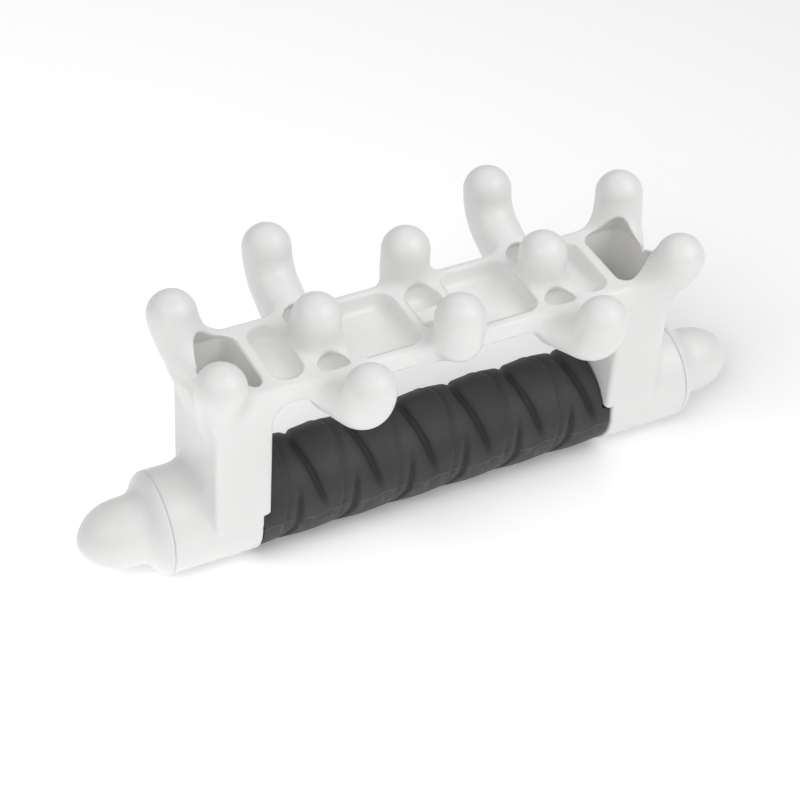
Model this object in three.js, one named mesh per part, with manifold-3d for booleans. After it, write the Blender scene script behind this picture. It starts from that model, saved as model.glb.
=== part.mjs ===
// Hand-held pressure-point massage tool. Millimetres, +Z up.
// X runs along the handle, Y from front (-) to back (+). The origin is the centre of the base,
// on the surface that the two foot pads stand on. The tool is symmetric about X = 0 and Y = 0.
//
// How it goes together: the tube slides through both hubs and through the rubber sleeve
// between them, then an end cap screws into each hub mouth and traps it against a washer.

import * as THREE from 'three';
import { mergeVertices } from 'three/addons/utils/BufferGeometryUtils.js';
import Module from 'manifold-3d';

const wasm = await Module();
wasm.setup();

// ---------------------------------------------------------------- driving dimensions

const FINGER_RADIUS = 8; // every finger and its round tip
const FINGER_PITCH = 40; // spacing of the rows of fingers along the handle
const HUB_RADIUS = 17.2; // outside of the hubs, and of the caps where they meet them
const AXIS_HEIGHT = 17.5; // handle axis above the base
const RAIL_TOP = 75; // top face of the rail above the base
const RAIL_DEPTH = 7; // thickness of the rail
const HUB_INNER_X = 64.3; // inner end of each hub
const HUB_OUTER_X = 94.5; // outer end of each hub, where the cap starts
const LEG_INNER_X = 61.7; // inner face of each leg, above the step that keys the sleeve
const LEG_OUTER_X = 80.9; // outer face of each leg
const TUBE_RADIUS = 12.5; // outside of the handle tube
const SLEEVE_RADIUS = 17; // outside of the rubber sleeve
const GAP = 0.3; // clearance between pieces that touch
const THREAD_PITCH = 3; // of the cap thread
const THREAD_TURNS = 4; // turns that free a cap
const FOOT_WIDTH = 12; // flat pad under each hub
const FOOT_LENGTH = 24;
const FOOT_X = 79; // centre of each pad

// Everything below is worked out from the sizes above, or is local to one feature.
const RAIL_UNDERSIDE = RAIL_TOP - RAIL_DEPTH;
const STEP_Z = AXIS_HEIGHT + 6; // where the leg's inner face steps back to the hub
const END_WALL_TOP = RAIL_TOP - 2.1; // rim of the outer wall between two corner fingers
const POCKET_FLOOR = RAIL_TOP - 5; // of the shallow core-outs in the rail
const SIDE_ROOT_Y = 12; // where the side fingers leave the bar under the rail
const SIDE_ROOT_Z = RAIL_TOP - 9.6;
const SIDE_TIP_Y = 37.2; // how far out the side fingers stand
const TIP_Z = AXIS_HEIGHT + 66.5; // centre of the tips of the outer and centre fingers
const MIDDLE_FINGER_Y = 18.4; // the two short fingers at the middle of the rail
const MIDDLE_POCKET_LENGTH = 11;
const MIDDLE_RIB_TOP = RAIL_TOP - 2.5;
const END_POCKET_FLOOR = AXIS_HEIGHT + 25; // the end pockets run down into the legs
const BRACE_RADIUS = 8;
const TUBE_WALL = 3;
const CAP_WALL = 3; // of the hollow spigot
const CUT = 1; // how far a cutting body reaches past the face that it opens
const WIDE = 50; // wider than the tool, for cuts that go right across it
const SPIGOT_LENGTH = THREAD_PITCH * THREAD_TURNS;
const SPIGOT_RADIUS = TUBE_RADIUS + 1.1;
const MOUTH_RADIUS = SPIGOT_RADIUS + 0.4;
const MOUTH_FLOOR_X = HUB_OUTER_X - SPIGOT_LENGTH - 1.5;
const WASHER_THICKNESS = 1.2;
const TUBE_HALF_LENGTH = MOUTH_FLOOR_X - 0.3;
const SIDES = [-1, 1];

// ---------------------------------------------------------------- solids from geometries

function solidOf(geometry) {
  const bare = geometry.clone();
  bare.deleteAttribute('normal');
  bare.deleteAttribute('uv');
  const merged = mergeVertices(bare, 1e-4);
  const index = merged.index.array;
  return new wasm.Manifold(
    new wasm.Mesh({
      numProp: 3,
      vertProperties: new Float32Array(merged.attributes.position.array),
      triVerts: new Uint32Array(index),
    }),
  );
}

function joined(solids) {
  return solids.reduce((whole, next) => whole.add(next));
}

function geometryOf(solid) {
  const mesh = solid.getMesh();
  const geometry = new THREE.BufferGeometry();
  geometry.setAttribute('position', new THREE.BufferAttribute(mesh.vertProperties, 3));
  geometry.setIndex(new THREE.BufferAttribute(mesh.triVerts, 1));
  geometry.computeVertexNormals();
  return geometry;
}

function roundedRectangle(width, height, radius) {
  const shape = new THREE.Shape();
  const x = width / 2;
  const y = height / 2;
  shape.moveTo(-x + radius, -y);
  shape.lineTo(x - radius, -y);
  shape.absarc(x - radius, -y + radius, radius, -Math.PI / 2, 0);
  shape.lineTo(x, y - radius);
  shape.absarc(x - radius, y - radius, radius, 0, Math.PI / 2);
  shape.lineTo(-x + radius, y);
  shape.absarc(-x + radius, y - radius, radius, Math.PI / 2, Math.PI);
  shape.lineTo(-x, -y + radius);
  shape.absarc(-x + radius, -y + radius, radius, Math.PI, 1.5 * Math.PI);
  return shape;
}

// A prism standing on z = bottom, with the outline in X and Y.
function upright(shape, bottom, top, curveSegments = 3) {
  const geometry = new THREE.ExtrudeGeometry(shape, {
    depth: top - bottom,
    bevelEnabled: false,
    curveSegments,
  });
  return solidOf(geometry.translate(0, 0, bottom));
}

// A prism lying along X, with the outline's x drawn as Y and its y as Z.
function alongX(shape, start, end, curveSegments = 3) {
  const geometry = new THREE.ExtrudeGeometry(shape, {
    depth: end - start,
    bevelEnabled: false,
    curveSegments,
  });
  geometry.applyMatrix4(new THREE.Matrix4().set(0, 0, 1, start, 1, 0, 0, 0, 0, 1, 0, 0, 0, 0, 0, 1));
  return solidOf(geometry);
}

// A body turned about the handle axis. The profile is [distance along X, radius] pairs.
function turned(profile, segments = 32) {
  const points = profile.map(([x, r]) => new THREE.Vector2(r, x));
  const geometry = new THREE.LatheGeometry(points, segments);
  geometry.rotateZ(-Math.PI / 2);
  geometry.translate(0, 0, AXIS_HEIGHT);
  return solidOf(geometry);
}

function cylinderAlongX(start, end, radius) {
  const low = Math.min(start, end);
  const high = Math.max(start, end);
  return turned([[low, 0], [low, radius], [high, radius], [high, 0]]);
}

// A straight finger, round at both ends.
function straightFinger(root, tip) {
  const along = tip.clone().sub(root);
  const rod = new THREE.CapsuleGeometry(FINGER_RADIUS, along.length(), 4, 16, 1);
  const up = new THREE.Vector3(0, 1, 0);
  rod.applyQuaternion(new THREE.Quaternion().setFromUnitVectors(up, along.clone().normalize()));
  const middle = root.clone().add(tip).multiplyScalar(0.5);
  return solidOf(rod.translate(middle.x, middle.y, middle.z));
}

// A finger that follows a curve, round at both ends.
function curvedFinger(path, steps) {
  const circle = new THREE.Shape().absarc(0, 0, FINGER_RADIUS, 0, 2 * Math.PI);
  const rod = new THREE.ExtrudeGeometry(circle, { extrudePath: path, steps, curveSegments: 8 });
  const solids = [solidOf(rod)];
  for (const t of [0, 1]) {
    const end = path.getPoint(t);
    const ball = new THREE.SphereGeometry(FINGER_RADIUS, 16, 8);
    ball.rotateX(Math.PI / 2);
    solids.push(solidOf(ball.translate(end.x, end.y, end.z)));
  }
  return joined(solids);
}

// ---------------------------------------------------------------- the moulded frame

// Upright finger through the middle of the rail, halfway to each leg.
function centreFinger(side) {
  const x = side * FINGER_PITCH;
  const root = new THREE.Vector3(x, 0, RAIL_UNDERSIDE + FINGER_RADIUS + 0.5);
  return straightFinger(root, new THREE.Vector3(x, 0, TIP_Z));
}

// Short upright finger grown out of each long side of the rail at its middle.
function middleFinger(face) {
  const y = face * MIDDLE_FINGER_Y;
  const root = new THREE.Vector3(0, y, RAIL_TOP + 2.1);
  return straightFinger(root, new THREE.Vector3(0, y, TIP_Z + 0.8));
}

// Finger that leaves the rail sideways and turns up, like a claw.
function sideFinger(side, face) {
  const x = side * FINGER_PITCH;
  const path = new THREE.CubicBezierCurve3(
    new THREE.Vector3(x, face * SIDE_ROOT_Y, SIDE_ROOT_Z),
    new THREE.Vector3(x, face * 28.9, SIDE_ROOT_Z + 7.5),
    new THREE.Vector3(x, face * (SIDE_TIP_Y - 0.6), TIP_Z - 8.3),
    new THREE.Vector3(x, face * SIDE_TIP_Y, TIP_Z + 0.7),
  );
  return curvedFinger(path, 7);
}

// Bar under the rail that joins the roots of a pair of side fingers.
function crossBar(side) {
  const end = new THREE.Vector3(side * FINGER_PITCH, SIDE_ROOT_Y, SIDE_ROOT_Z);
  return straightFinger(end.clone().setY(-SIDE_ROOT_Y), end);
}

// Finger that leans outwards from a corner over the leg, then turns up.
function cornerFinger(side, face) {
  const path = new THREE.QuadraticBezierCurve3(
    new THREE.Vector3(side * 74.1, face * 6, RAIL_TOP - 10.9),
    new THREE.Vector3(side * 79.4, face * 17.15, RAIL_TOP + 2.2),
    new THREE.Vector3(side * 2 * FINGER_PITCH, face * 18.8, TIP_Z),
  );
  return curvedFinger(path, 4);
}

function rail() {
  const width = 2 * HUB_RADIUS;
  const section = roundedRectangle(width, RAIL_DEPTH, 2.8);
  const bar = alongX(section, -LEG_OUTER_X + 2, LEG_OUTER_X - 2);
  return bar.translate(0, 0, RAIL_TOP - RAIL_DEPTH / 2);
}

function leg(side) {
  const width = LEG_OUTER_X - LEG_INNER_X;
  const column = upright(roundedRectangle(width, 2 * HUB_RADIUS, 3), AXIS_HEIGHT, END_WALL_TOP);
  return column.translate((side * (LEG_INNER_X + LEG_OUTER_X)) / 2, 0, 0);
}

// Concave brace in the inner corner between the leg and the rail.
function brace(side) {
  const radius = BRACE_RADIUS;
  const overlap = radius + 1;
  const shape = new THREE.Shape();
  shape.moveTo(radius, 0);
  shape.lineTo(overlap, 0);
  shape.lineTo(overlap, overlap);
  shape.lineTo(0, overlap);
  shape.lineTo(0, radius);
  shape.absarc(0, 0, radius, Math.PI / 2, 0, true);
  const depth = 2 * HUB_RADIUS - 4;
  const geometry = new THREE.ExtrudeGeometry(shape, { depth, bevelEnabled: false, curveSegments: 4 });
  geometry.rotateX(Math.PI / 2);
  geometry.translate(LEG_INNER_X - radius, depth / 2, RAIL_UNDERSIDE - radius);
  if (side < 0) geometry.rotateZ(Math.PI);
  return solidOf(geometry);
}

function hub(side) {
  return cylinderAlongX(side * HUB_INNER_X, side * HUB_OUTER_X, HUB_RADIUS);
}

function footPad(side) {
  const pad = upright(roundedRectangle(FOOT_LENGTH, FOOT_WIDTH, 2), 0, AXIS_HEIGHT - HUB_RADIUS + 3);
  return pad.translate(side * FOOT_X, 0, 0);
}

// Outlines of the core-outs in the top: centre x, centre y, length, width, corner radius, floor.
function pockets() {
  const cuts = [];
  const cut = (x, y, length, width, radius, floor, top = RAIL_TOP + CUT) => {
    const hollow = upright(roundedRectangle(length, width, radius), floor, top);
    cuts.push(hollow.translate(x, y, 0));
  };
  for (const side of SIDES) {
    cut(side * 71, 0, 16, 27, 4.5, END_POCKET_FLOOR, RAIL_TOP + 6.8);
    cut(side * 53.9, 0, 10.6, 25.6, 5.2, POCKET_FLOOR);
    cut(side * 21, 0, 24, 27, 5, POCKET_FLOOR);
    for (const face of SIDES) {
      cut(side * FINGER_PITCH, face * 12.8, 10.2, 10.4, 5, POCKET_FLOOR);
    }
  }
  // The middle pocket runs between two finger roots, over a low rib.
  for (const face of SIDES) {
    cut(0, face * 6.6, MIDDLE_POCKET_LENGTH, 9.6, 4.7, POCKET_FLOOR);
  }
  cut(0, 0, MIDDLE_POCKET_LENGTH, 6, 0.5, MIDDLE_RIB_TOP);
  return joined(cuts);
}

function frameSolid() {
  const solids = [rail()];
  for (const side of SIDES) {
    solids.push(leg(side), brace(side), hub(side), footPad(side));
    solids.push(centreFinger(side), crossBar(side));
    for (const face of SIDES) {
      solids.push(sideFinger(side, face), cornerFinger(side, face));
    }
  }
  solids.push(middleFinger(-1), middleFinger(1));
  let whole = joined(solids).subtract(pockets());
  for (const side of SIDES) {
    const inner = side * (LEG_INNER_X - CUT);
    whole = whole.subtract(cylinderAlongX(inner, side * HUB_OUTER_X, TUBE_RADIUS + GAP));
    const beyond = side * (HUB_OUTER_X + CUT);
    whole = whole.subtract(cylinderAlongX(side * MOUTH_FLOOR_X, beyond, MOUTH_RADIUS));
    const notch = new THREE.BoxGeometry(4, WIDE, STEP_Z);
    notch.translate(side * (HUB_INNER_X - 2), 0, STEP_Z / 2);
    whole = whole.subtract(solidOf(notch));
  }
  return whole;
}

// ---------------------------------------------------------------- handle and caps

function tubeSolid() {
  const outside = cylinderAlongX(-TUBE_HALF_LENGTH, TUBE_HALF_LENGTH, TUBE_RADIUS);
  const beyond = TUBE_HALF_LENGTH + CUT;
  const inside = cylinderAlongX(-beyond, beyond, TUBE_RADIUS - TUBE_WALL);
  return outside.subtract(inside);
}

// The sleeve's lower half reaches further out, under the legs' steps, so it can't turn.
function sleeveSolid() {
  const half = HUB_INNER_X - GAP;
  let sleeve = cylinderAlongX(-half, half, SLEEVE_RADIUS);
  sleeve = sleeve.subtract(cylinderAlongX(-half - CUT, half + CUT, TUBE_RADIUS + GAP));
  for (const side of SIDES) {
    const inner = LEG_INNER_X - GAP;
    const bottom = STEP_Z - GAP;
    const block = new THREE.BoxGeometry(6, WIDE, SLEEVE_RADIUS);
    block.translate(side * (inner + 3), 0, bottom + SLEEVE_RADIUS / 2);
    sleeve = sleeve.subtract(solidOf(block));
  }
  return sleeve;
}

// A cap is a hollow threaded spigot, a rounded shoulder, a waist and a bullet-shaped nose.
function capSolid(side) {
  const start = HUB_OUTER_X + GAP;
  const outline = new THREE.SplineCurve(
    [
      [start, HUB_RADIUS],
      [96.2, 16.6],
      [97.7, 15.2],
      [99.1, 13.3],
      [101, 11.9],
      [103, 11.4],
      [106, 11.3],
      [109.6, 10.8],
      [113, 9.6],
      [116.2, 7.6],
      [118.7, 4.9],
      [120.2, 2.2],
      [120.6, 0],
    ].map(([x, r]) => new THREE.Vector2(x, r)),
  ).getPoints(15);
  outline[outline.length - 1].y = 0;
  const end = HUB_OUTER_X - SPIGOT_LENGTH;
  const bore = SPIGOT_RADIUS - CAP_WALL;
  const profile = [
    [104, 0],
    [101, bore - 1],
    [end, bore],
    [end, SPIGOT_RADIUS - 0.6],
    [end + 0.8, SPIGOT_RADIUS],
    [start, SPIGOT_RADIUS],
    ...outline.map((p) => [p.x, p.y]),
  ];
  return turned(profile).rotate([0, 0, side < 0 ? 180 : 0]);
}

function washerSolid(side) {
  const start = TUBE_HALF_LENGTH + GAP;
  const end = start + WASHER_THICKNESS;
  const outer = TUBE_RADIUS + 0.9;
  const inner = TUBE_RADIUS - TUBE_WALL;
  const ring = [[start, inner], [start, outer], [end, outer], [end, inner], [start, inner]];
  return turned(ring).rotate([0, 0, side < 0 ? 180 : 0]);
}

// ---------------------------------------------------------------- the assembly

const whitePlastic = { color: 0xf2f1ee, roughness: 0.34, metalness: 0 };
const tool = new THREE.Group();

function place(name, solid, finish) {
  const mesh = new THREE.Mesh(geometryOf(solid), new THREE.MeshStandardMaterial(finish));
  mesh.name = name;
  tool.add(mesh);
}

place('frame', frameSolid(), whitePlastic);
place('handle_tube', tubeSolid(), { color: 0xd8d8d4, roughness: 0.5, metalness: 0 });
place('grip_sleeve', sleeveSolid(), { color: 0x2b2c2e, roughness: 0.75, metalness: 0 });
for (const [label, side] of [['left', -1], ['right', 1]]) {
  place(`${label}_end_cap`, capSolid(side), whitePlastic);
  place(`${label}_washer`, washerSolid(side), { color: 0x3a3a3a, roughness: 0.8, metalness: 0 });
}

export default tool;
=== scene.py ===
import math

import bmesh
import bpy
import numpy as np
from mathutils import Matrix, Vector


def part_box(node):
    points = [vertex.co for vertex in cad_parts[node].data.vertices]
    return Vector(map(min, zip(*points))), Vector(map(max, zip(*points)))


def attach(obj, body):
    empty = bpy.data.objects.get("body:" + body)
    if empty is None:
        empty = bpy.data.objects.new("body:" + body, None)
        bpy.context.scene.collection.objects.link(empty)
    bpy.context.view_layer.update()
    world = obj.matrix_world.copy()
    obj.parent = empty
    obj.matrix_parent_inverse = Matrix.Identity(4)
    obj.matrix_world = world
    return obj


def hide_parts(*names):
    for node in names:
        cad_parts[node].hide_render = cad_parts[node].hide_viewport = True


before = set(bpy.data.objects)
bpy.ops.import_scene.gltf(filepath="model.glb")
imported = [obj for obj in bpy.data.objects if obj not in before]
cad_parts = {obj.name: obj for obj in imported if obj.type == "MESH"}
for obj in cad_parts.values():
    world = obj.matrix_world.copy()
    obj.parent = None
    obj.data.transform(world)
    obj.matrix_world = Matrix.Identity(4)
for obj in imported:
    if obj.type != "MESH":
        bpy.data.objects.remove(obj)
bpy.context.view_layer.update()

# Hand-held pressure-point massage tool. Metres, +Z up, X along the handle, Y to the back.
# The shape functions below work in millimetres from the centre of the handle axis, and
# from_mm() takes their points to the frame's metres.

MM = 0.001
SLEEVE_LOW, SLEEVE_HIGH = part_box("grip_sleeve")
FRAME_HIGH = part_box("frame")[1]
CAP_LOW, CAP_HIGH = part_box("right_end_cap")
TUBE_LOW, TUBE_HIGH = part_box("handle_tube")
WASHER_LOW, WASHER_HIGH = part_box("right_washer")

AXIS_HEIGHT = (CAP_LOW[2] + CAP_HIGH[2]) / 2
HUB_RADIUS = (CAP_HIGH[1] - CAP_LOW[1]) / 2 / MM
HUB_OUTER = FRAME_HIGH[0] / MM
SLEEVE_RADIUS = (SLEEVE_HIGH[1] - SLEEVE_LOW[1]) / 2 / MM
SLEEVE_HALF = SLEEVE_HIGH[0] / MM
TUBE_RADIUS = (TUBE_HIGH[1] - TUBE_LOW[1]) / 2 / MM
FINGER_RADIUS = 8.0
FINGER_PITCH = 40.0
RAIL_TOP = 57.5
RAIL_UNDERSIDE = 50.4
LEG_INNER = 61.7
LEG_OUTER = 80.9
RAIL_HALF_LENGTH = 79.0
FINGER_TOP = RAIL_TOP + 9.0  # centre of the round tip of a finger
CLAW_ROOT_Y = 12.0
CLAW_ROOT_Z = RAIL_TOP - 9.6
MIDDLE_FINGER_Y = 18.4
POCKET_DEPTH = 6.1
MIDDLE_RIB_DROP = 2.3
FOOT_X = 79.0
FOOT_THICKNESS = 3.0
HUB_INNER = SLEEVE_HALF + 0.3
STEP_Z = 6.0
TUBE_WALL = 3.0
THREAD_PITCH = 3.0
SPIGOT_END = 82.5
SPIGOT_ROOT = 12.75
MOUTH_FLOOR = 81.0
MOUTH_RADIUS = 14.0
VOXEL = 0.75


def from_mm(points):
    """Handle-axis millimetres to the frame's metres."""
    return np.asarray(points, dtype=float) * MM + np.array([0.0, 0.0, AXIS_HEIGHT])


def smooth_step(value, start, end):
    t = np.clip((value - start) / (end - start), 0.0, 1.0)
    return t * t * (3.0 - 2.0 * t)


# ------------------------------------------------------------ signed distances, in mm


def joined(a, b, blend):
    """Union of two distances with a fillet about as wide as blend."""
    h = np.clip(0.5 + 0.5 * (b - a) / blend, 0.0, 1.0)
    return b + (a - b) * h - blend * h * (1.0 - h)


def cut(a, b, blend):
    """What is left of a when b is taken away, with a rounded rim."""
    return -joined(-a, b, blend)


def overlap(a, b, blend):
    """What a and b share, with the edge between them rounded."""
    return -joined(-a, -b, blend)


def segment(x, y, z, start, end):
    """Distance to the straight line between two points."""
    start, end = np.array(start), np.array(end)
    along = end - start
    px, py, pz = x - start[0], y - start[1], z - start[2]
    t = (px * along[0] + py * along[1] + pz * along[2]) / (along @ along)
    t = np.clip(t, 0.0, 1.0)
    return np.sqrt((px - t * along[0]) ** 2 + (py - t * along[1]) ** 2 + (pz - t * along[2]) ** 2)


def rounded_plan(u, v, half_u, half_v, radius):
    """Distance in a plane to a rectangle with round corners."""
    du = np.abs(u) - half_u + radius
    dv = np.abs(v) - half_v + radius
    outside = np.hypot(np.maximum(du, 0.0), np.maximum(dv, 0.0))
    return outside + np.minimum(np.maximum(du, dv), 0.0) - radius


def rod(x, y, z, path):
    """Distance to a round finger along a path of points."""
    distance = segment(x, y, z, path[0], path[1])
    for start, end in zip(path[1:-1], path[2:]):
        distance = np.minimum(distance, segment(x, y, z, start, end))
    return distance - FINGER_RADIUS


def side_finger_path():
    """Across under the rail, straight out of its side, then round and up."""
    rise, bend, straight = math.radians(24), 13.9, 18.6
    root = np.array([FINGER_PITCH, CLAW_ROOT_Y, CLAW_ROOT_Z])
    elbow = root + straight * np.array([0, math.cos(rise), math.sin(rise)])
    centre = elbow + bend * np.array([0, -math.sin(rise), math.cos(rise)])
    path = [(FINGER_PITCH, 0.0, root[2]), root, elbow]
    for turn in np.radians(np.linspace(27, 86, 14)):
        path.append(centre + bend * np.array([0, math.sin(turn), -math.cos(turn)]))
    return path


def corner_finger_path():
    """Out of the top of the leg, leaning away from the middle, then up."""
    root = np.array([74.1, 6.0, RAIL_TOP - 10.9])
    bend = np.array([79.4, 17.15, RAIL_TOP + 2.2])
    tip = np.array([2 * FINGER_PITCH, 18.8, FINGER_TOP])
    t = np.linspace(0.0, 1.0, 14)[:, None]
    return (1 - t) ** 2 * root + 2 * t * (1 - t) * bend + t * t * tip


def draft(z, slope):
    """How far a pocket's wall leans in above the top of the rail, so that it clears the fingers."""
    return slope * np.maximum(z - RAIL_TOP + 0.5, 0.0)


def top_pockets(x, y, z):
    """Distance to the shallow core-outs in the top of the rail."""
    floor = RAIL_TOP - POCKET_DEPTH
    plan = rounded_plan(x - 53.9, y, 5.3, 13.0, 5.2)
    plan = np.minimum(plan, rounded_plan(x - 21.0, y, 12.0, 13.5, 4.6))
    plan = np.minimum(plan, np.hypot(x - FINGER_PITCH, y - 12.8) - 5.1)
    shallow = overlap(plan + draft(z, 0.5), floor - z, 3.2)

    # The middle one runs between the roots of two fingers, over a low flat rib.
    slot = rounded_plan(x, y, 5.5, 11.4, 5.4) + draft(z, 0.5)
    slot = overlap(slot, floor - z, 2.4)
    rib = overlap(np.abs(y) - 3.3, z - RAIL_TOP + MIDDLE_RIB_DROP, 1.2)
    slot = cut(slot, rib, 1.2)
    return np.maximum(np.minimum(shallow, slot), z - RAIL_TOP - 5.0)


def frame_distance(x, y, z):
    """Distance to the one-piece moulding. It is the same left to right and front to back."""
    x, y = np.abs(x), np.abs(y)

    # The flat arch: rail and legs as one outline in X and Z, cut to the hub's width.
    rail_middle = (RAIL_TOP + RAIL_UNDERSIDE) / 2
    rail_half = (RAIL_TOP - RAIL_UNDERSIDE) / 2
    rail = rounded_plan(x, z - rail_middle, RAIL_HALF_LENGTH, rail_half, 0.8)
    leg_half = (LEG_OUTER - LEG_INNER) / 2
    leg = rounded_plan(x - (LEG_INNER + LEG_OUTER) / 2, z - 27.7, leg_half, 27.7, 0.8)
    arch = joined(rail, leg, 9.0 * np.clip((56.0 - z) / 5.0, 0.06, 1.0))
    body = overlap(arch, y - HUB_RADIUS, 2.0)

    # The hubs, with a fillet where the leg's outer face meets the hub's top.
    radial = np.hypot(y, z) - HUB_RADIUS
    hub_ends = np.abs(x - (HUB_INNER + HUB_OUTER) / 2) - (HUB_OUTER - HUB_INNER) / 2
    hub = overlap(radial, hub_ends, 0.7)
    fillet = np.clip((z - 1.0) / 10.0, 0.0, 1.0) * smooth_step(x, 68.0, 76.0)
    fillet = fillet * (1 - 0.85 * smooth_step(y, 9.0, 16.5))
    body = joined(body, hub, 0.15 + 7.5 * fillet)
    body = np.maximum(body, y - HUB_RADIUS)
    body = np.maximum(body, x - HUB_OUTER)
    step = np.maximum(x - HUB_INNER, z - STEP_Z)
    body = cut(body, step, 1.0)

    # Fingers.
    centre = rod(x, y, z, [(FINGER_PITCH, 0, 54), (FINGER_PITCH, 0, FINGER_TOP)])
    middle_root = (0, MIDDLE_FINGER_Y, RAIL_TOP + 2.1)
    middle = rod(x, y, z, [middle_root, (0, MIDDLE_FINGER_Y, RAIL_TOP + 9.8)])
    body = joined(body, rod(x, y, z, side_finger_path()), 5.0)
    body = joined(body, rod(x, y, z, corner_finger_path()), 4.0 + 3.0 * smooth_step(z, 52.0, 58.0))
    body = joined(body, middle, 5.0)
    body = joined(body, centre, 5.0)

    # Core-outs in the top. The end ones run down into the legs.
    end_pocket = rounded_plan(x - 71.0, y, 8.0, 13.5, 4.5) + draft(z, 0.35)
    end_pocket = overlap(end_pocket, np.abs(z - 44.7) - 19.7, 3.0)
    body = cut(body, end_pocket, 1.0)
    body = cut(body, top_pockets(x, y, z), 1.0)

    # The bore for the tube, and the wider mouth that the cap screws into.
    bore = np.hypot(y, z) - TUBE_RADIUS - 0.3
    mouth = np.maximum(np.hypot(y, z) - MOUTH_RADIUS, MOUTH_FLOOR - x)
    body = cut(body, np.minimum(bore, mouth), 0.4)

    # Flat pad under each hub.
    foot = rounded_plan(x - FOOT_X, y, 12.0, 6.0, 2.0)
    half = FOOT_THICKNESS / 2
    foot = overlap(foot, np.abs(z + AXIS_HEIGHT / MM - half) - half, 0.4)
    return np.minimum(body, foot)


# ------------------------------------------------------------ meshes


def surface_net(values, low, step):
    """Vertices and quads of the zero surface of a grid of distances."""
    shape = np.array(values.shape)
    cells = shape - 1
    strides = np.array([cells[1] * cells[2], cells[2], 1])
    total = np.zeros((int(cells.prod()), 3))
    count = np.zeros(int(cells.prod()))
    quads = []
    for axis in range(3):
        u, v = (axis + 1) % 3, (axis + 2) % 3
        near = values.take(range(0, shape[axis] - 1), axis=axis)
        far = values.take(range(1, shape[axis]), axis=axis)
        index = np.argwhere((near < 0) != (far < 0))
        a, b = near[tuple(index.T)], far[tuple(index.T)]
        crossing = index.astype(float)
        crossing[:, axis] += a / (a - b)
        inner = np.all((index[:, [u, v]] > 0) & (index[:, [u, v]] < cells[[u, v]]), axis=1)
        corners = []
        for back_u, back_v in ((0, 0), (1, 0), (1, 1), (0, 1)):
            cell = index.copy()
            cell[:, u] -= back_u
            cell[:, v] -= back_v
            flat = cell @ strides
            corners.append(flat)
            for k in range(3):
                total[:, k] += np.bincount(flat[inner], crossing[inner, k], len(count))
            count += np.bincount(flat[inner], minlength=len(count))
        face = np.stack(corners, axis=1)[inner]
        flip = (a < 0)[inner]
        face[~flip] = face[~flip][:, ::-1]
        quads.append(face)
    used = count > 0
    number = np.cumsum(used) - 1
    points = total[used] / count[used, None] * step + low
    return points, number[np.concatenate(quads)]


def gradient(distance, points, reach=0.02):
    columns = []
    for axis in range(3):
        offset = np.zeros(3)
        offset[axis] = reach
        high = distance(*(points + offset).T)
        low = distance(*(points - offset).T)
        columns.append((high - low) / (2 * reach))
    return np.stack(columns, axis=1)


def skin(distance, low, high, step):
    """A quad mesh on the zero surface of a distance that is even in x and y."""
    counts = np.ceil(np.array(high) / step).astype(int) + 2
    x = np.arange(counts[0] + 1) * step
    y = np.arange(counts[1] + 1) * step
    z = np.arange(low[2] - 2 * step, high[2] + 2 * step, step)
    quarter = distance(x[:, None, None], y[None, :, None], z[None, None, :])
    half = np.concatenate([quarter[:0:-1], quarter], axis=0)
    whole = np.concatenate([half[:, :0:-1], half], axis=1)
    corner = np.array([-x[-1], -y[-1], z[0]])
    points, quads = surface_net(whole, corner, step)
    for _ in range(4):
        slope = gradient(distance, points)
        size = np.maximum((slope * slope).sum(axis=1), 0.2)
        move = distance(*points.T)[:, None] * slope / size[:, None]
        points = points - np.clip(move, -0.4 * step, 0.4 * step)
    slope = gradient(distance, points)
    normals = slope / np.linalg.norm(slope, axis=1, keepdims=True)
    return points, quads, normals


def facing_out(points, quads):
    """The quads, turned over if they enclose a negative volume."""
    a, b, c, d = (points[quads[:, k]] for k in range(4))
    volume = (a * (np.cross(b, c) + np.cross(c, d))).sum()
    return quads if volume > 0 else quads[:, ::-1]


def mesh_object(name, points_mm, quads, normals=None):
    """A smooth-shaded object at the origin, from handle-axis millimetres."""
    points_mm = np.asarray(points_mm)
    mesh = bpy.data.meshes.new(name)
    mesh.from_pydata(from_mm(points_mm).tolist(), [], facing_out(points_mm, quads).tolist())
    mesh.polygons.foreach_set("use_smooth", np.ones(len(mesh.polygons), dtype=bool))
    if normals is not None:
        mesh.normals_split_custom_set_from_vertices(normals.tolist())
    mesh.update()
    piece = bpy.data.objects.new(name, mesh)
    bpy.context.scene.collection.objects.link(piece)
    return piece


def merge_poles(piece):
    """Joins the points of a turned body that meet on its axis."""
    work = bmesh.new()
    work.from_mesh(piece.data)
    bmesh.ops.remove_doubles(work, verts=work.verts, dist=1e-7)
    work.to_mesh(piece.data)
    work.free()


def grid_faces(rows, columns, wrap_rows):
    """Quads of a grid whose columns close on themselves, and whose rows may too."""
    row = np.arange(rows if wrap_rows else rows - 1)[:, None]
    column = np.arange(columns)[None, :]
    next_row = (row + 1) % rows
    next_column = (column + 1) % columns
    a = row * columns + column
    b = next_row * columns + column
    c = next_row * columns + next_column
    d = row * columns + next_column
    return np.stack([a, b, c, d], axis=-1).reshape(-1, 4)


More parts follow.
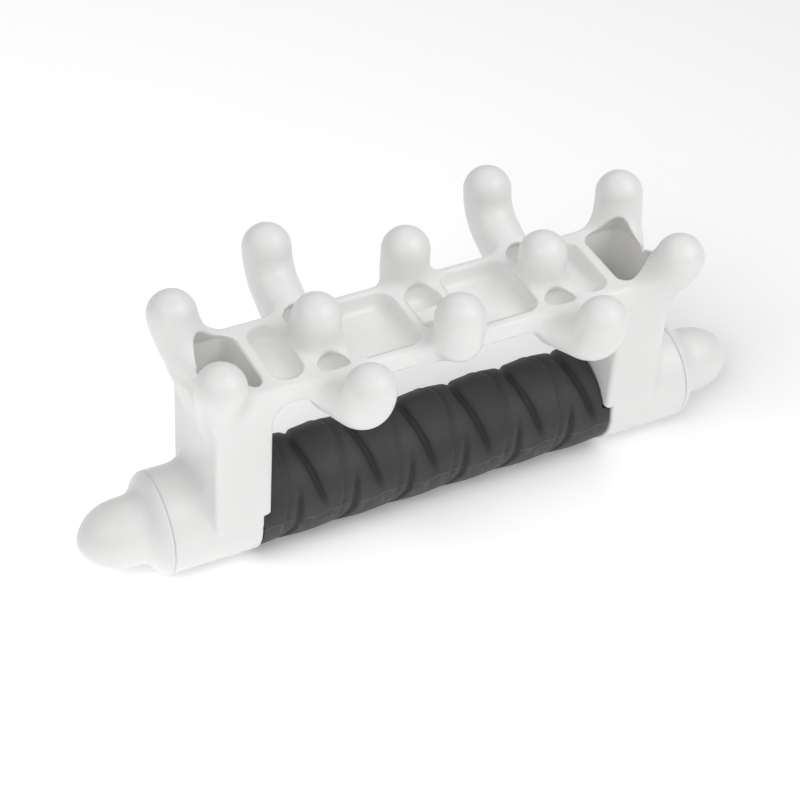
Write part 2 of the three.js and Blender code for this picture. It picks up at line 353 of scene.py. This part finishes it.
def turned_object(name, profile, side=1, segments=128, ridge=None):
    """A body turned about the handle axis, from (x, radius) pairs that run outside first.

    A profile that starts and ends off the axis closes on itself. ridge(x, angle) adds to
    the radius. Angles run right-handed about the outward axis, as the cap's thread does.
    """
    profile = np.array(profile, dtype=float)
    closed = profile[0, 1] > 0
    angle = np.arange(segments) * 2 * math.pi / segments
    x = np.repeat(profile[:, 0:1], segments, axis=1)
    radius = np.repeat(profile[:, 1:2], segments, axis=1)
    if ridge is not None:
        radius = radius + ridge(x, angle[None, :])
    points = np.stack([side * x, -side * radius * np.sin(angle), radius * np.cos(angle)], axis=-1)
    quads = grid_faces(len(profile), segments, closed)
    piece = mesh_object(name, points.reshape(-1, 3), quads)
    if not closed:
        merge_poles(piece)
    return piece


# ------------------------------------------------------------ the moulded frame


def frame_piece():
    low = (0.0, 0.0, -AXIS_HEIGHT / MM)
    high = (HUB_OUTER, FRAME_HIGH[1] / MM + 1.0, (FRAME_HIGH[2] - AXIS_HEIGHT) / MM)
    points, quads, normals = skin(frame_distance, low, high, VOXEL)
    piece = mesh_object("frame_moulding", points, quads, normals)
    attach(piece, "handle")
    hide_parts("frame")
    return piece


def helix_object(name, side, start, turns, root, crest, width):
    """A closed trapezoid ridge that winds inward round a bore, with tapered ends."""
    steps = int(96 * turns)
    angle = np.linspace(0.0, turns * 2 * math.pi, steps + 1)[:, None]
    taper = np.clip(np.minimum(angle, angle[-1] - angle) / 0.7, 0.02, 1.0)
    half = np.array([[-0.5, -0.22, 0.22, 0.5]]) * width
    reach = np.array([[0.0, 1.0, 1.0, 0.0]])
    x = start + THREAD_PITCH * angle / (2 * math.pi) + half
    radius = root - (root - crest) * reach * taper
    points = np.stack([side * x, -side * radius * np.sin(angle), radius * np.cos(angle)], axis=-1)
    ends = np.array([[0, 1, 2, 3], [4 * steps + 3, 4 * steps + 2, 4 * steps + 1, 4 * steps]])
    quads = np.vstack([grid_faces(steps + 1, 4, False), ends])
    return mesh_object(name, points.reshape(-1, 3), quads)


def hub_thread(label, side):
    """Female thread of a hub, moulded in one with the frame."""
    start = MOUTH_FLOOR + 1.6
    turns = (HUB_OUTER - 1.6 - start) / THREAD_PITCH
    # The male crest passes x = 0 at angle 0, so the female ridge lies half a pitch away.
    start = math.ceil(start / THREAD_PITCH) * THREAD_PITCH + THREAD_PITCH / 2 - THREAD_PITCH
    piece = helix_object(f"{label}_hub_thread", side, start, turns, MOUTH_RADIUS + 0.15, 13.1, 1.5)
    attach(piece, "handle")
    return piece


# ------------------------------------------------------------ grip, tube, washers, caps

WRAP_PERIOD = 20.0
WRAP_GROOVE = -6.6  # x of one deep groove at the top of the sleeve
FLASH_ANGLE = 93.0  # degrees from the top to the line between the mould's halves


def wave_bump(distance, width):
    return np.exp(-((distance / width) ** 2))


def nearest(value, period):
    """Signed distance to the nearest multiple of the period."""
    return value - period * np.round(value / period)


def wrap_relief(x, angle):
    """Height of the moulded wrapped strap over the sleeve's mean radius, in mm.

    angle is in degrees from the top; both halves of the sleeve are alike.
    """
    a = np.abs(angle)
    under = 5.3 * (1 - np.cos(math.pi * np.clip((a - 95.0) / 85.0, 0.0, 1.0)))
    along = x - WRAP_GROOVE

    # Deep grooves over the top that fade out at the mould line.
    groove_at = 0.06 * (np.sqrt(a * a + 100.0) - 10.0) + 1.2 * smooth_step(a, 80, 100)
    from_groove = nearest(along - groove_at, WRAP_PERIOD)
    groove_depth = 1.05 * (1 - smooth_step(a, 60, 102))
    sharp = np.where(from_groove < 0, 1.5, 0.9)
    relief = -groove_depth * wave_bump(from_groove, sharp)

    # Edge of the overlapping strap: a low crest, then a step down.
    edge_at = 13.3 - 0.049 * a - 0.6 * under
    from_edge = nearest(along - edge_at, WRAP_PERIOD)
    edge_strength = 1 - smooth_step(a, 85, 125)
    relief = relief + 0.24 * edge_strength * wave_bump(from_edge, 0.45)
    relief = relief - 0.42 * edge_strength * wave_bump(from_edge - 1.5, 1.1)

    # Grooves of the lower half, between the upper ones.
    lower_at = -(2.2 + 0.028 * a) - under
    from_lower = nearest(along - lower_at, WRAP_PERIOD)
    lower_depth = 1.0 * smooth_step(a, 42, 75)
    relief = relief - lower_depth * wave_bump(from_lower, np.where(from_lower < 0, 1.6, 1.0))

    # Broad swell of each turn of the strap.
    swell = np.cos((along - groove_at - 9.5) * 2 * math.pi / WRAP_PERIOD)
    lower_swell = np.cos((along - lower_at - 9.0) * 2 * math.pi / WRAP_PERIOD)
    share = smooth_step(a, 60, 100)
    return relief + 0.30 * (1 - share) * swell + 0.24 * share * lower_swell


def flash_angle(x):
    """Angle of the mould line, which steps up and down with the strap."""
    phase = (x - WRAP_GROOVE) * 2 * math.pi / WRAP_PERIOD
    return FLASH_ANGLE - 2.2 * np.sin(phase - 1.0) + 0.7 * np.sin(3 * phase)


def grip_angles():
    """Angles of the sleeve's columns, closer together near the mould line and the tongue."""
    spacing = 1.2
    coarse = np.arange(-180.0, 180.0, spacing)
    for centre, reach in ((-FLASH_ANGLE, 5.0), (FLASH_ANGLE, 5.0)):
        fine = np.arange(centre - reach, centre + reach, 0.3)
        coarse = np.concatenate([coarse[np.abs(coarse - centre) > reach + 0.4], fine])
    step_angle = math.degrees(math.acos((STEP_Z - 0.3) / SLEEVE_RADIUS))
    for sign in (-1, 1):
        coarse = coarse[np.abs(coarse - sign * step_angle) > 0.6]
        edge = sign * step_angle + np.array([-0.3, -0.1, 0.1, 0.3])
        coarse = np.concatenate([coarse, edge])
    return np.sort(coarse), step_angle


def paint(piece, name, values):
    """Stores one number for each point, for the material to read."""
    layer = piece.data.attributes.new(name, "FLOAT", "POINT")
    layer.data.foreach_set("value", np.ascontiguousarray(values, dtype=np.float32).ravel())


def grip_piece():
    angle, step_angle = grip_angles()
    upper_half = SLEEVE_HALF - (HUB_INNER - LEG_INNER)
    on_top = 1 - smooth_step(np.abs(angle), step_angle - 0.2, step_angle + 0.2)
    half = SLEEVE_HALF + (upper_half - SLEEVE_HALF) * on_top
    share = np.linspace(-1.0, 1.0, 428)
    lip = np.array([0.9985, 0.9995])
    share = np.sort(np.concatenate([share, lip, -lip]))[:, None]
    x = share * half
    around = np.broadcast_to(angle, x.shape)
    from_end = half - np.abs(x)

    relief = wrap_relief(x, around) * smooth_step(from_end, -3.0, 5.0)
    fin = 0.09 * wave_bump(np.abs(around) - flash_angle(x), 0.4)
    end_bend = 0.6
    rounded = end_bend - np.sqrt(end_bend ** 2 - np.clip(end_bend - from_end, 0, end_bend) ** 2)
    radius = SLEEVE_RADIUS - 0.35 + relief + fin - rounded

    # Painted shade: how deep each point lies in a groove, for the material to darken as shade.
    groove_shade = np.clip(-relief / 0.9, 0.0, 1.0)
    groove_shade = np.concatenate([groove_shade[:1], groove_shade, groove_shade[-1:]])
    bore = np.full_like(radius[:1], TUBE_RADIUS + 0.15)
    x = np.concatenate([x[:1], x, x[-1:]])
    radius = np.concatenate([bore, radius, bore])
    turn = np.radians(angle)[None, :]
    points = np.stack([x, -radius * np.sin(turn), radius * np.cos(turn)], axis=-1)
    quads = grid_faces(len(radius), len(angle), True)
    piece = mesh_object("grip_wrap", points.reshape(-1, 3), quads)

    below = np.abs(np.broadcast_to(angle, x.shape)) - flash_angle(x)
    scuffed = smooth_step(below, -1.0, 2.0) * (1 - smooth_step(below, 14.0, 34.0))
    paint(piece, "scuffed", scuffed)
    paint(piece, "mould_line", wave_bump(below, 0.5))
    paint(piece, "groove_shade", groove_shade)
    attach(piece, "handle")
    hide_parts("grip_sleeve")
    return piece


def rounded_ring(start, end, inner, outer, bend):
    """Profile of a ring of rectangular section with rounded corners."""
    profile = []
    corners = ((start, outer, 180), (end, outer, 90), (end, inner, 0), (start, inner, -90))
    for x, radius, first in corners:
        centre_x = x + bend * (1 if x == start else -1)
        centre_r = radius + bend * (1 if radius == inner else -1)
        for turn in np.radians(first - np.linspace(0, 90, 5)):
            profile.append((centre_x + bend * math.cos(turn), centre_r + bend * math.sin(turn)))
    return profile


def tube_piece():
    end = TUBE_HIGH[0] / MM
    profile = rounded_ring(-end, end, TUBE_RADIUS - TUBE_WALL, TUBE_RADIUS, 0.5)
    piece = turned_object("handle_tube_bar", profile)
    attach(piece, "handle")
    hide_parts("handle_tube")
    return piece


def washer_piece(label, side):
    low, high = WASHER_LOW[0] / MM, WASHER_HIGH[0] / MM
    outer = (WASHER_HIGH[1] - WASHER_LOW[1]) / 2 / MM
    profile = rounded_ring(low, high, TUBE_RADIUS - TUBE_WALL, outer, 0.45)
    piece = turned_object(f"{label}_sealing_washer", profile, side)
    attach(piece, f"{label}_washer")
    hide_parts(f"{label}_washer")
    return piece


def smooth_curve(points, spacing):
    """Catmull-Rom curve through the points, as a list of points about spacing apart."""
    points = np.array(points, dtype=float)
    padded = np.vstack([2 * points[0] - points[1], points, 2 * points[-1] - points[-2]])
    curve = []
    for p0, p1, p2, p3 in zip(padded[:-3], padded[1:-2], padded[2:-1], padded[3:]):
        count = max(2, int(np.hypot(*(p2 - p1)) / spacing))
        for t in np.arange(count) / count:
            bend = (2 * p0 - 5 * p1 + 4 * p2 - p3) * t * t + (3 * p1 - p0 - 3 * p2 + p3) * t ** 3
            curve.append((p1 * 2 + (p2 - p0) * t + bend) / 2)
    return np.array(curve + [points[-1]])


def male_thread(x, angle):
    """Height of the spigot's ridge over its root. The crest passes x = 0 at angle 0."""
    from_crest = np.abs(nearest(x - THREAD_PITCH * angle / (2 * math.pi), THREAD_PITCH))
    flank = 1 - smooth_step(from_crest, 0.35, 0.85)
    ends = smooth_step(x, SPIGOT_END + 0.6, SPIGOT_END + 2.0)
    ends = ends * (1 - smooth_step(x, HUB_OUTER - 2.6, HUB_OUTER - 1.2))
    return 1.0 * flank * ends


def cap_profile():
    """Hollow threaded spigot, rounded shoulder, waist and bullet-shaped nose."""
    seat = HUB_OUTER + 0.12
    nose = smooth_curve(
        [
            (seat, HUB_RADIUS - 0.25),
            (seat + 0.35, HUB_RADIUS),
            (96.2, 16.6),
            (97.7, 15.2),
            (99.1, 13.3),
            (101, 11.9),
            (103, 11.4),
            (106, 11.3),
            (109.6, 10.8),
            (113, 9.6),
            (116.2, 7.6),
            (118.7, 4.9),
            (120.2, 2.2),
            (120.6, 0.0),
        ],
        0.3,
    )
    bore = SPIGOT_ROOT - 2.6
    profile = [(104.0, 0.0), (103.2, 4.0), (101.0, bore - 1.0)]
    profile += [(x, bore) for x in np.linspace(99.0, SPIGOT_END + 0.4, 12)]
    profile += [(SPIGOT_END, bore + 0.4), (SPIGOT_END, SPIGOT_ROOT - 0.6)]
    profile += [(x, SPIGOT_ROOT) for x in np.arange(SPIGOT_END + 0.5, HUB_OUTER - 0.5, 0.15)]
    profile += [(seat - 0.4, SPIGOT_ROOT), (seat, SPIGOT_ROOT + 0.4)]
    return np.vstack([profile, nose])


def cap_piece(label, side):
    piece = turned_object(f"{label}_cap_moulding", cap_profile(), side, 160, male_thread)
    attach(piece, f"{label}_cap")
    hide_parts(f"{label}_end_cap")
    return piece


# ------------------------------------------------------------ materials


def new_material(name, colour, roughness):
    material = bpy.data.materials.new(name)
    material.use_nodes = True
    shader = material.node_tree.nodes["Principled BSDF"]
    shader.inputs["Base Color"].default_value = (*colour, 1.0)
    shader.inputs["Roughness"].default_value = roughness
    return material, material.node_tree, shader


def noise(tree, scale, detail=3.0, roughness=0.5, stretch=None):
    """Noise over the object's own coordinates, in cells per metre."""
    place = tree.nodes.new("ShaderNodeTexCoord")
    texture = tree.nodes.new("ShaderNodeTexNoise")
    texture.inputs["Scale"].default_value = scale
    texture.inputs["Detail"].default_value = detail
    texture.inputs["Roughness"].default_value = roughness
    source = place.outputs["Object"]
    if stretch is not None:
        mapping = tree.nodes.new("ShaderNodeMapping")
        mapping.inputs["Scale"].default_value = stretch
        tree.links.new(source, mapping.inputs["Vector"])
        source = mapping.outputs["Vector"]
    tree.links.new(source, texture.inputs["Vector"])
    return texture.outputs["Fac"]


def remapped(tree, value, low, high, to_low, to_high):
    node = tree.nodes.new("ShaderNodeMapRange")
    node.inputs["From Min"].default_value = low
    node.inputs["From Max"].default_value = high
    node.inputs["To Min"].default_value = to_low
    node.inputs["To Max"].default_value = to_high
    tree.links.new(value, node.inputs["Value"])
    return node.outputs["Result"]


def mixed_colour(tree, factor, first, second):
    node = tree.nodes.new("ShaderNodeMix")
    node.data_type = "RGBA"
    for socket, value in ((node.inputs[6], first), (node.inputs[7], second)):
        if isinstance(value, tuple):
            socket.default_value = (*value, 1.0)
        else:
            tree.links.new(value, socket)
    tree.links.new(factor, node.inputs[0])
    return node.outputs[2]


def add_bump(tree, shader, height, strength, distance):
    bump = tree.nodes.new("ShaderNodeBump")
    bump.inputs["Strength"].default_value = strength
    bump.inputs["Distance"].default_value = distance
    tree.links.new(height, bump.inputs["Height"])
    below = shader.inputs["Normal"]
    if below.is_linked:
        tree.links.new(below.links[0].from_socket, bump.inputs["Normal"])
    tree.links.new(bump.outputs["Normal"], below)


def white_plastic():
    """Warm white moulding compound with a satin mould finish."""
    material, tree, shader = new_material("satin_white_plastic", (0.90, 0.895, 0.885), 0.36)
    cloudy = remapped(tree, noise(tree, 35, 2), 0.3, 0.7, 0.0, 1.0)
    tint = mixed_colour(tree, cloudy, (0.885, 0.882, 0.873), (0.91, 0.907, 0.898))
    tree.links.new(tint, shader.inputs["Base Color"])
    satin = remapped(tree, noise(tree, 900, 4, 0.6), 0.25, 0.75, 0.31, 0.42)
    tree.links.new(satin, shader.inputs["Roughness"])
    shader.inputs["Specular IOR Level"].default_value = 0.5
    shader.inputs["Subsurface Weight"].default_value = 0.25
    shader.inputs["Subsurface Radius"].default_value = (1.0, 0.9, 0.8)
    shader.inputs["Subsurface Scale"].default_value = 0.0025
    add_bump(tree, shader, noise(tree, 5200, 2), 0.10, 0.00003)
    add_bump(tree, shader, noise(tree, 120, 2), 0.12, 0.0002)
    return material


def tube_plastic():
    material, tree, shader = new_material("drawn_tube_plastic", (0.62, 0.62, 0.60), 0.45)
    drawn = noise(tree, 600, 3, 0.5, (0.04, 1.0, 1.0))
    tint = mixed_colour(tree, drawn, (0.56, 0.56, 0.54), (0.68, 0.68, 0.66))
    tree.links.new(tint, shader.inputs["Base Color"])
    tree.links.new(remapped(tree, drawn, 0.3, 0.7, 0.36, 0.52), shader.inputs["Roughness"])
    add_bump(tree, shader, drawn, 0.25, 0.00006)
    return material


def washer_rubber():
    material, tree, shader = new_material("black_washer_rubber", (0.03, 0.03, 0.03), 0.7)
    dusty = remapped(tree, noise(tree, 700, 4, 0.6), 0.35, 0.75, 0.0, 1.0)
    tint = mixed_colour(tree, dusty, (0.022, 0.022, 0.023), (0.055, 0.055, 0.056))
    tree.links.new(tint, shader.inputs["Base Color"])
    add_bump(tree, shader, noise(tree, 3000, 3), 0.3, 0.00005)
    return material


def grip_rubber():
    """Matte charcoal rubber with painted shade darkening its grooves, and pale scuffs under the
    mould line.
    """
    material, tree, shader = new_material("charcoal_grip_rubber", (0.06, 0.061, 0.063), 0.62)
    worn = tree.nodes.new("ShaderNodeAttribute")
    worn.attribute_name = "scuffed"
    crest = tree.nodes.new("ShaderNodeAttribute")
    crest.attribute_name = "mould_line"
    grain = noise(tree, 1500, 5, 0.65)
    cloudy = remapped(tree, noise(tree, 60, 3), 0.3, 0.7, 0, 1)
    base = mixed_colour(tree, cloudy, (0.042, 0.043, 0.045), (0.054, 0.055, 0.056))
    streaks = remapped(tree, noise(tree, 420, 5, 0.7, (1.0, 0.5, 0.35)), 0.48, 0.72, 0.0, 1.0)
    patch = tree.nodes.new("ShaderNodeMath")
    patch.operation = "MULTIPLY"
    tree.links.new(streaks, patch.inputs[0])
    tree.links.new(worn.outputs["Fac"], patch.inputs[1])
    scuffed = mixed_colour(tree, patch.outputs[0], base, (0.10, 0.105, 0.108))
    on_line = remapped(tree, crest.outputs["Fac"], 0, 1, 0, 0.5)
    edged = mixed_colour(tree, on_line, scuffed, (0.20, 0.20, 0.20))
    # Painted shade: the base colour is darkened in the grooves, where shade falls.
    groove = tree.nodes.new("ShaderNodeAttribute")
    groove.attribute_name = "groove_shade"
    depth = remapped(tree, groove.outputs["Fac"], 0.1, 0.9, 0.0, 0.8)
    shaded = mixed_colour(tree, depth, edged, (0.018, 0.018, 0.019))
    tree.links.new(shaded, shader.inputs["Base Color"])
    tree.links.new(remapped(tree, grain, 0.3, 0.7, 0.52, 0.68), shader.inputs["Roughness"])
    shader.inputs["Specular IOR Level"].default_value = 0.45
    add_bump(tree, shader, grain, 0.25, 0.00008)
    return material


def floor_material():
    material, tree, shader = new_material("studio_white", (0.93, 0.93, 0.93), 0.85)
    shader.inputs["Specular IOR Level"].default_value = 0.1
    shader.inputs["Emission Color"].default_value = (1.0, 1.0, 1.0, 1.0)
    shader.inputs["Emission Strength"].default_value = 0.20
    return material


# ------------------------------------------------------------ studio


def camera():
    """Long lens from the left, front and above, rolled a little."""
    azimuth, elevation, roll = math.radians(-29.744), math.radians(41.449), 0.072
    distance, aside, aloft = 0.72106, -0.00652, 0.01397
    target = Vector((0.0, 0.0, 0.0172))
    level = math.cos(elevation)
    back = Vector((math.sin(azimuth) * level, -math.cos(azimuth) * level, math.sin(elevation)))
    right = (-back).cross(Vector((0, 0, 1))).normalized()
    up = back.cross(right)
    rolled_right = right * math.cos(roll) + up * math.sin(roll)
    rolled_up = up * math.cos(roll) - right * math.sin(roll)
    data = bpy.data.cameras.new("camera")
    data.lens = 97.36
    data.sensor_width = 36.0
    data.clip_start = 0.01
    eye = bpy.data.objects.new("camera", data)
    place = target + back * distance + rolled_right * aside + rolled_up * aloft
    turn = Matrix((rolled_right, rolled_up, back)).transposed()
    eye.matrix_world = Matrix.Translation(place) @ turn.to_4x4()
    bpy.context.scene.collection.objects.link(eye)
    bpy.context.scene.camera = eye


def soft_light(name, place, target, size, power):
    data = bpy.data.lights.new(name, "AREA")
    data.shape = "RECTANGLE"
    data.size, data.size_y = size
    data.energy = power
    lamp = bpy.data.objects.new(name, data)
    lamp.location = place
    aim = Vector(target) - Vector(place)
    lamp.rotation_euler = aim.to_track_quat("-Z", "Y").to_euler()
    bpy.context.scene.collection.objects.link(lamp)
    return lamp


def link_floor(lamp, floor, state):
    """Makes a light reach only the floor, or everything but the floor."""
    group = bpy.data.collections.new(lamp.name + "_receivers")
    group.objects.link(floor)
    group.collection_objects[0].light_linking.link_state = state
    lamp.light_linking.receiver_collection = group


def direction(azimuth, elevation):
    """Unit vector towards a place seen from the object; azimuth 0 is the front."""
    a, e = math.radians(azimuth), math.radians(elevation)
    return Vector((math.sin(a) * math.cos(e), -math.cos(a) * math.cos(e), math.sin(e)))


def studio():
    world = bpy.data.worlds.new("world")
    world.use_nodes = True
    background = world.node_tree.nodes["Background"]
    background.inputs["Color"].default_value = (1.0, 1.0, 1.0, 1.0)
    background.inputs["Strength"].default_value = 0.20
    bpy.context.scene.world = world
    bpy.context.scene.view_settings.view_transform = "Standard"
    middle = Vector((0, 0, 0.04))
    right_key = soft_light("right_key", middle + direction(40, 50) * 1.1, middle, (0.9, 0.7), 5.0)
    soft_light("left_key", middle + direction(-60, 45) * 1.1, middle, (0.9, 0.7), 2.4)
    soft_light("overhead", middle + direction(0, 89) * 1.5, middle, (4.0, 4.0), 12.5)
    soft_light("back", middle + direction(175, 60) * 1.1, middle, (0.9, 0.7), 1.0)
    sweep = soft_light("sweep", middle + direction(-60, 50) * 1.2, middle, (1.0, 0.8), 9.0)
    mesh = bpy.data.meshes.new("floor")
    reach = 4.0
    corners = [(-reach, -reach, 0), (reach, -reach, 0), (reach, reach, 0), (-reach, reach, 0)]
    mesh.from_pydata(corners, [], [(0, 1, 2, 3)])
    floor = bpy.data.objects.new("floor", mesh)
    bpy.context.scene.collection.objects.link(floor)
    floor.data.materials.append(floor_material())
    link_floor(sweep, floor, "INCLUDE")
    link_floor(right_key, floor, "EXCLUDE")


def build():
    white, rubber, tube, black = white_plastic(), grip_rubber(), tube_plastic(), washer_rubber()
    finishes = [(frame_piece(), white), (grip_piece(), rubber), (tube_piece(), tube)]
    for label, side in (("left", -1), ("right", 1)):
        finishes.append((hub_thread(label, side), white))
        finishes.append((cap_piece(label, side), white))
        finishes.append((washer_piece(label, side), black))
    for piece, finish in finishes:
        piece.data.materials.append(finish)


camera()
studio()
build()
